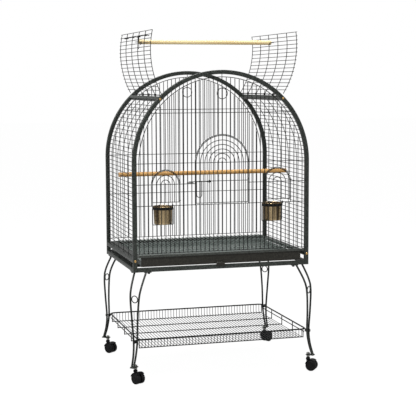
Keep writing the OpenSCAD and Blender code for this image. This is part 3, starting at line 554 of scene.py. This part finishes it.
# the collar round the stem
COLLAR = [(0.0044, 0.047), (0.0078, 0.047), (0.0085, 0.0478), (0.0085, 0.0545), (0.0078, 0.0560),
          (0.0066, 0.0568), (0.0044, 0.0568)]
STEM_LOW, STEM_HIGH, THREAD_LOW, THREAD_LEN, THREADS = 0.0487, 0.0780, 0.0565, 0.0205, 16
ROOT_R, CREST_R = 0.0036, 0.0040
NUT_R, NUT_CHAMFER = 0.0075, 0.0006


def caster_place(corner):
    """From a caster's own axes, Z up its stem and X towards its axle, to the cage's."""
    sx, sy, turn = CORNERS[corner]
    out = STEM_OUT * math.cos(math.radians(45))
    return (Matrix.Translation((sx * (LEG_X + out), sy * (LEG_Y + out), 0))
            @ Matrix.Rotation(math.radians(turn), 4, "Z"))


def caster(corner):
    """Hood and twin wheels of one caster."""
    place = caster_place(corner)
    axle = Vector((TRAIL, 0, WHEEL_R))
    hood, wheels = Shape(), Shape()

    def lathe_here(shape, profile, origin, axis, sides=48):
        start = len(shape.verts)
        add_lathe(shape, profile, origin, axis, sides)
        for i in range(start, len(shape.verts)):
            shape.verts[i] = place @ shape.verts[i]

    # fender: a shell over both wheels, thin at its edges and crowned across
    across, along = 14, 28
    rings = []
    for i in range(along + 1):
        a = math.radians(FENDER_FROM + FENDER_TURN * i / along)
        ring = []
        for j in range(across + 1):
            w = -FENDER_HALF_W + 2 * FENDER_HALF_W * j / across
            crown = FENDER_OUT_R - FENDER_DROP * (w / FENDER_HALF_W) ** 4
            ring.append(axle + Vector((math.cos(a) * crown, w, math.sin(a) * crown)))
        for j in range(across, -1, -1):
            w = -FENDER_HALF_W + 2 * FENDER_HALF_W * j / across
            ring.append(axle + Vector((math.cos(a) * FENDER_IN_R, w, math.sin(a) * FENDER_IN_R)))
        rings.append([place @ p for p in ring])
    hood.rings(rings)
    # web between the wheels and its hub, the neck, and the collar with its ribs
    web = [(0.001, -WEB_HALF), (0.0142, -WEB_HALF), (0.0150, -0.0026), (0.0150, 0.0026),
           (0.0142, WEB_HALF), (0.001, WEB_HALF)]
    lathe_here(hood, web, axle, (0, 1, 0))
    add_box(hood, (-0.007, -WEB_HALF, 0.027), (0.015, WEB_HALF, 0.048), 0.0008, place)
    lathe_here(hood, COLLAR, (0, 0, 0), (0, 0, 1))
    for a in (-150, -90, 90, 150):
        turn = place @ Matrix.Rotation(math.radians(a), 4, "Z")
        add_box(hood, (0.0060, -0.0008, 0.0455), (0.0095, 0.0008, 0.0535), 0.0004, turn)
    # two wheels and the axle
    for s in (-1, 1):
        lathe_here(wheels, [(r, s * h) for r, h in WHEEL_SIDE], axle, (0, 1, 0), 56)
    pin_r, pin_half = 0.0025, 0.0070
    pin = [(0.0004, -pin_half), (pin_r, -pin_half), (pin_r, pin_half), (0.0004, pin_half)]
    lathe_here(wheels, pin, axle, (0, 1, 0), 24)
    hood.finish(corner + "_fender", corner + "_caster_hood", M["hood"],
                corner + "_caster_hood", "caster_plastic")
    wheels.finish(corner + "_twin_wheels", corner + "_caster_wheels", M["wheel"],
                  corner + "_caster_wheels", "wheel_plastic")


def caster_stems():
    """Threaded stems and their nuts."""
    thread = [(0.0004, STEM_LOW), (ROOT_R, STEM_LOW), (CREST_R, STEM_LOW + 0.0005), (CREST_R, 0.0560)]
    for i in range(THREADS):
        z = THREAD_LOW + THREAD_LEN * i / THREADS
        thread += [(ROOT_R, z), (CREST_R, z + THREAD_LEN / THREADS / 2)]
    thread += [(ROOT_R, STEM_HIGH - 0.0005), (0.0030, STEM_HIGH), (0.0004, STEM_HIGH)]
    stems, nuts = Shape(), Shape()
    for corner in CORNERS:
        place = caster_place(corner)
        add_lathe(stems, thread, place @ Vector((0, 0, 0)), (0, 0, 1), 24)
        for low, high in ((0.0701, 0.0761), (0.0594, 0.0659)):
            levels = ((low, 0.93), (low + NUT_CHAMFER, 1.0), (high - NUT_CHAMFER, 1.0), (high, 0.93))
            nuts.rings([[place @ Vector((NUT_R * k * math.cos(a), NUT_R * k * math.sin(a), z))
                         for a in (math.pi / 3 * j for j in range(6))] for z, k in levels])
    stems.finish("caster_threads", "cage_and_stand", M["zinc"], "caster_stems", "zinc")
    nuts.finish("caster_hex_nuts", "cage_and_stand", M["zinc"], "caster_nuts", "zinc", 25)


# ---------------------------------------------------------------- perches, cups
DOWEL_R = 0.0095


def dowel(name, body, node, material, slot_name, slot_depth):
    """Round bar along X. Its ends are chamfered or, with a slot depth, split in two prongs."""
    low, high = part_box(node)
    x0, x1, z = low.x, high.x, (low.z + high.z) / 2
    inner0, inner1 = x0 + slot_depth, x1 - slot_depth
    count, chamfer = 60, 0.0012
    stations = [(inner0 + (inner1 - inner0) * i / count, DOWEL_R) for i in range(count + 1)]
    if not slot_depth:
        stations = ([(x0, DOWEL_R - chamfer), (x0 + chamfer, DOWEL_R)] + stations[1:-1]
                    + [(x1 - chamfer, DOWEL_R), (x1, DOWEL_R - chamfer)])
    s = Shape()
    angles = [2 * math.pi * j / 40 for j in range(40)]
    s.rings([[Vector((x, r * math.cos(a), z + r * math.sin(a))) for a in angles] for x, r in stations])
    if slot_depth:
        slot_half, tip, taper = 0.002, 0.001, 0.94
        gap = math.asin(slot_half / DOWEL_R)
        ends = (((x0, taper), (x0 + tip, 1.0), (inner0, 1.0)),
                ((inner1, 1.0), (x1 - tip, 1.0), (x1, taper)))
        for end in ends:
            for upper in (-1, 1):
                half_moon = [(DOWEL_R * math.cos(a), upper * DOWEL_R * math.sin(a))
                             for a in (gap + (math.pi - 2 * gap) * j / 20 for j in range(21))]
                if upper < 0:
                    half_moon.reverse()
                s.rings([[Vector((x, u * k, z + v * k)) for u, v in half_moon] for x, k in end])
    s.finish(name, body, material, node, slot_name, 40)


CUP_X, CUP_Y = 0.238, -0.212
CUP_LOW, CUP_R = 0.6435, 0.0395


def cup(side, name):
    """Spun bowl: a stepped foot, a wall that widens upwards and a rolled rim."""
    foot, wall, base, inside = CUP_R - 0.0026, 0.0009, 0.0006, 0.0012
    wall_low, wall_high = 0.0022, 0.0708
    roll_out, roll_z, roll_r = 0.0012, 0.073, 0.002
    profile = [(0.0005, base), (foot - 0.010, base), (foot - 0.008, 0.0), (foot - 0.0022, 0.0),
               (foot - 0.0006, base), (foot, wall_low)]
    for i in range(1, 13):
        t = i / 12
        profile.append((foot + (CUP_R - foot) * t, wall_low + (wall_high - wall_low) * t))
    for i in range(17):
        a = math.radians(-125 + 290 * i / 16)
        profile.append((CUP_R + roll_out + roll_r * math.cos(a), roll_z + roll_r * math.sin(a)))
    profile += [(CUP_R - wall, 0.0715), (foot - wall, 0.0030), (foot - 0.0024, inside), (0.0005, inside)]
    s = Shape()
    add_lathe(s, profile, (side * CUP_X, CUP_Y, CUP_LOW), (0, 0, 1), 96)
    s.finish(name + "_bowl", name, M["cup"], name, "cup_steel", 50)


def cup_holders():
    """For each cup a flat band, a wire bail under the cup, and two wires that hook over the panel."""
    band_in, band_out, band_low, band_high, edge = 0.0404, 0.0436, 0.704, 0.010, 0.0006
    band = [(band_in, 0.0008), (band_in + edge, 0), (band_out - edge, 0), (band_out, 0.0008),
            (band_out, 0.0092), (band_out - edge, band_high), (band_in + edge, band_high),
            (band_in, 0.0092), (band_in, 0.0008)]
    bail, bail_low, bail_bend, wire_r = 0.0448, 0.6455, 0.005, 0.0015
    arm_x, arm_y, arm_z, arm_reach, arm_bend = 0.02775, -0.2645, 0.709, 0.0325, 0.003
    hook_y, hook_z, hook_r, hook_drop = -0.272, 0.7289, 0.0035, 0.009
    s = Shape()
    for side in (-1, 1):
        x = side * CUP_X
        add_lathe(s, band, (x, CUP_Y, band_low), (0, 0, 1), 80)
        path = [(x - bail, CUP_Y, arm_z), (x - bail, CUP_Y, bail_low)]
        path += arc((x - bail + bail_bend, CUP_Y, bail_low), bail_bend, 180, 270, 6)[1:]
        path += arc((x + bail - bail_bend, CUP_Y, bail_low), bail_bend, 270, 360, 6)
        path += [(x + bail, CUP_Y, arm_z)]
        add_wire(s, path, wire_r, 12)
        for ear in (-1, 1):
            px = x + ear * arm_x
            bend_y, bend_z = arm_y + arm_bend, arm_z + arm_bend
            path = [(px, CUP_Y - arm_reach, arm_z), (px, bend_y, arm_z)]
            path += [(px, bend_y - arm_bend * math.sin(a), bend_z - arm_bend * math.cos(a))
                     for a in (math.pi * k / 8 for k in range(1, 5))]
            path += [(px, arm_y, hook_z - hook_r)]
            mid, half = (arm_y + hook_y) / 2, (arm_y - hook_y) / 2
            path += [(px, mid + half * math.cos(a), hook_z - hook_r + hook_r * math.sin(a))
                     for a in (math.pi * k / 8 for k in range(1, 8))]
            path += [(px, hook_y, hook_z - hook_r), (px, hook_y, hook_z - hook_drop)]
            add_wire(s, path, wire_r, 12)
    s.finish("cup_holder_wires", "cage_and_stand", M["black"], "cup_holders", "holder_black", 40)


# ---------------------------------------------------------------- tray and grate
TRAY_X, TRAY_FRONT, TRAY_LOW, TRAY_HIGH = 0.346, -0.2707, 0.4765, 0.515
PAN_X, PAN_BACK, PAN_LOW, PAN_HIGH, SHEET = TRAY_X - 0.001, 0.2516, 0.4782, 0.4992, 0.0012
HEM_R, PLATE = 0.0011, 0.0014
PULL_X, PULL_W = -0.012, 0.037
# the finger pull's bent section, as distance out from the plate and height over its lower edge
PULL_SECTION = ((0, 0.0110), (0.0060, 0.0096), (0.0120, 0.0070), (0.0150, 0.0046), (0.0163, 0.0010),
                (0.0164, -0.0063), (0.0151, -0.0063), (0.0150, 0.0002), (0.0139, 0.0030),
                (0.0112, 0.0054), (0.0056, 0.0078), (0, 0.0092))
PULL_OUT, PULL_DROOP = 0.0164, 0.0016


def tray_pan():
    """Folded sheet pan, its front plate with turned-in edges, and the bent finger pull."""
    pan, front = Shape(), Shape()
    floor_z = PAN_LOW + SHEET
    for low, high in (((-PAN_X, TRAY_FRONT, PAN_LOW), (PAN_X, PAN_BACK, floor_z)),
                      ((-PAN_X, TRAY_FRONT, floor_z), (-PAN_X + SHEET, PAN_BACK, PAN_HIGH)),
                      ((PAN_X - SHEET, TRAY_FRONT, floor_z), (PAN_X, PAN_BACK, PAN_HIGH)),
                      ((-PAN_X + SHEET, PAN_BACK - SHEET, floor_z), (PAN_X - SHEET, PAN_BACK, PAN_HIGH))):
        add_box(pan, low, high, 0.0004)
    for s in (-1, 1):
        x = s * (PAN_X - SHEET / 2)
        path = [(x, y, PAN_HIGH) for y in (TRAY_FRONT + 0.001, 0, PAN_BACK - SHEET)]
        add_wire(pan, path, HEM_R, 8)
    back_hem = [(x, PAN_BACK - SHEET / 2, PAN_HIGH) for x in (-PAN_X + SHEET, 0, PAN_X - SHEET)]
    add_wire(pan, back_hem, HEM_R, 8)
    pan.finish("tray_pan", "tray", M["pan"], None, "tray_enamel", 30)
    plate_y = TRAY_FRONT - PLATE
    add_box(front, (-TRAY_X, plate_y, TRAY_LOW), (TRAY_X, TRAY_FRONT, TRAY_HIGH), 0.0006)
    for z in (TRAY_LOW + 0.0012, TRAY_HIGH - 0.0012):
        path = [(x, plate_y - 0.0001, z) for x in (-TRAY_X + 0.001, 0, TRAY_X - 0.001)]
        add_wire(front, path, HEM_R, 12)
    rings = []
    for i in range(17):
        a = i / 16
        x = PULL_X - PULL_W / 2 + PULL_W * a
        droop = PULL_DROOP * abs(2 * a - 1) ** 3
        rings.append([Vector((x, plate_y + 0.0003 - out, TRAY_LOW + up - droop * out / PULL_OUT))
                      for out, up in PULL_SECTION])
    front.rings(rings)
    front.finish("tray_front", "tray", M["tray"], "tray", "tray_enamel", 40)


STRIP_X, STRIP_Y, STRIP_LOW, STRIP_HIGH, STRIP_SHEET = 0.357, -0.2794, 0.5156, 0.5256, 0.0016
STRIP_EDGE_R = 0.0015


def grate_strip():
    """Folded strip that the grate's wires are welded to, its top edge turned back."""
    s = Shape()
    low = (-STRIP_X, STRIP_Y - STRIP_SHEET, STRIP_LOW)
    add_box(s, low, (STRIP_X, STRIP_Y, STRIP_HIGH - 0.0008), 0.0005)
    y, z = STRIP_Y - STRIP_SHEET / 2, STRIP_HIGH - STRIP_EDGE_R
    add_wire(s, [(x, y, z) for x in (-STRIP_X + 0.0005, 0, STRIP_X - 0.0005)], STRIP_EDGE_R, 12)
    s.finish("grate_front_strip", "grate", M["grate_lip"], "grate_front", "tray_enamel", 40)


# ---------------------------------------------------------------- door latch
def door_latch_wire():
    """Straight wire with an eye round the pin at one end, and the loop that hangs from it."""
    y, z, pivot, end = -0.2805, 0.821, -0.0575, -0.146
    wire_r, eye_r = 0.0016, 0.0040
    loop_x, loop_r, loop_straight, loop_low = -0.101, 0.011, 0.050, 0.054
    s = Shape()
    eye = [(pivot + eye_r * math.cos(a), y, z + eye_r * math.sin(a))
           for a in (math.radians(d) for d in range(220, 521, 20))]
    add_wire(s, [(x, y, z) for x in (end, -0.13, -0.10, -0.07)] + eye, wire_r, 12)
    loop = [(loop_x - loop_r, y, z), (loop_x - loop_r, y, z - loop_straight)]
    loop += arc((loop_x, y, z - loop_low), loop_r, 180, 360, 14)
    loop += [(loop_x + loop_r, y, z - loop_straight), (loop_x + loop_r, y, z)]
    add_wire(s, loop, wire_r, 12)
    s.finish("door_latch_wire", "door_latch", M["wire"], "door_latch", "wire_enamel")


for node, y in (("front_arch_frame", -PANEL_Y), ("rear_arch_frame", PANEL_Y)):
    arched_frame(node, y)
straight_bars()
screws()
for corner in CORNERS:
    leg(corner)
    caster(corner)
leg_ring_wires()
caster_stems()
dowel("top_perch_dowel", "top_perch", "top_perch", M["pale"], "pale_wood", 0)
dowel("lower_perch_dowel", "cage_and_stand", "lower_perch", M["orange"], "orange_wood", 0.011)
cup(-1, "left_cup")
cup(1, "right_cup")
cup_holders()
tray_pan()
grate_strip()
door_latch_wire()


# ---------------------------------------------------------------- stage, light, camera
def camera_only(tree, seen, unseen):
    """A value that is one number where the camera looks straight at the stage and another where
    the stage lights the cage."""
    path = tree.nodes.new("ShaderNodeLightPath")
    span = tree.nodes.new("ShaderNodeMapRange")
    span.inputs["To Min"].default_value = unseen
    span.inputs["To Max"].default_value = seen
    tree.links.new(path.outputs["Is Camera Ray"], span.inputs["Value"])
    return span.outputs["Result"]


def stage_floor():
    """White floor, seen as flat white and lighting the cage from below like a pale room's."""
    half = 30
    mesh = bpy.data.meshes.new("floor")
    mesh.from_pydata([(-half, -half, 0), (half, -half, 0), (half, half, 0), (-half, half, 0)], [],
                     [(0, 1, 2, 3)])
    obj = bpy.data.objects.new("floor", mesh)
    bpy.context.scene.collection.objects.link(obj)
    mat = bpy.data.materials.new("floor_white")
    mat.use_nodes = True
    tree = mat.node_tree
    shader = tree.nodes["Principled BSDF"]
    tree.links.new(camera_only(tree, 0.05, 0.5), shader.inputs["Base Color"])
    shader.inputs["Roughness"].default_value = 0.9
    shader.inputs["Specular IOR Level"].default_value = 0.0
    shader.inputs["Emission Color"].default_value = (1, 1, 1, 1)
    tree.links.new(camera_only(tree, 0.97, 0.0), shader.inputs["Emission Strength"])
    mesh.materials.append(mat)


def area_light(name, place, target, size, power):
    light = bpy.data.lights.new(name, "AREA")
    light.shape = "RECTANGLE"
    light.size, light.size_y = size
    light.energy = power
    obj = bpy.data.objects.new(name, light)
    obj.location = place
    obj.rotation_euler = (Vector(target) - Vector(place)).to_track_quat("-Z", "Y").to_euler()
    bpy.context.scene.collection.objects.link(obj)


def studio():
    """White surroundings, a key light from the front left, a weak fill and a light from above."""
    world = bpy.data.worlds.new("studio")
    bpy.context.scene.world = world
    world.use_nodes = True
    tree = world.node_tree
    background = tree.nodes["Background"]
    background.inputs["Color"].default_value = (1, 1, 1, 1)
    tree.links.new(camera_only(tree, 1.0, 0.45), background.inputs["Strength"])
    area_light("key", (-2.4, -3.0, 3.4), (0, 0, 0.8), (1.4, 1.4), 140)
    area_light("fill", (3.0, -2.2, 1.8), (0, 0, 0.8), (1.2, 1.8), 18)
    area_light("top", (0, 0.4, 3.8), (0, 0, 0.6), (2.0, 1.6), 120)
    bpy.context.scene.view_settings.view_transform = "Standard"


CAMERA_AT = (-1.3885, -4.8622, 1.2315)
CAMERA_YAW, CAMERA_PITCH, CAMERA_ROLL = 16.1257, -6.2283, -0.1958
CAMERA_LENS = 100.85


def camera():
    """The main view: a long lens in front of the cage and to its left, looking slightly down."""
    yaw, pitch, roll = (math.radians(a) for a in (CAMERA_YAW, CAMERA_PITCH, CAMERA_ROLL))
    forward = Vector((math.sin(yaw) * math.cos(pitch), math.cos(yaw) * math.cos(pitch), math.sin(pitch)))
    level = Vector((math.cos(yaw), -math.sin(yaw), 0))
    over = level.cross(forward)
    right = level * math.cos(roll) + over * math.sin(roll)
    up = over * math.cos(roll) - level * math.sin(roll)
    data = bpy.data.cameras.new("camera")
    data.lens = CAMERA_LENS
    data.sensor_width = 36.0
    data.clip_end = 200.0
    obj = bpy.data.objects.new("camera", data)
    turn = Matrix((right, up, -forward)).transposed().to_4x4()
    obj.matrix_world = Matrix.Translation(CAMERA_AT) @ turn
    bpy.context.scene.collection.objects.link(obj)
    bpy.context.scene.camera = obj


stage_floor()
studio()
camera()
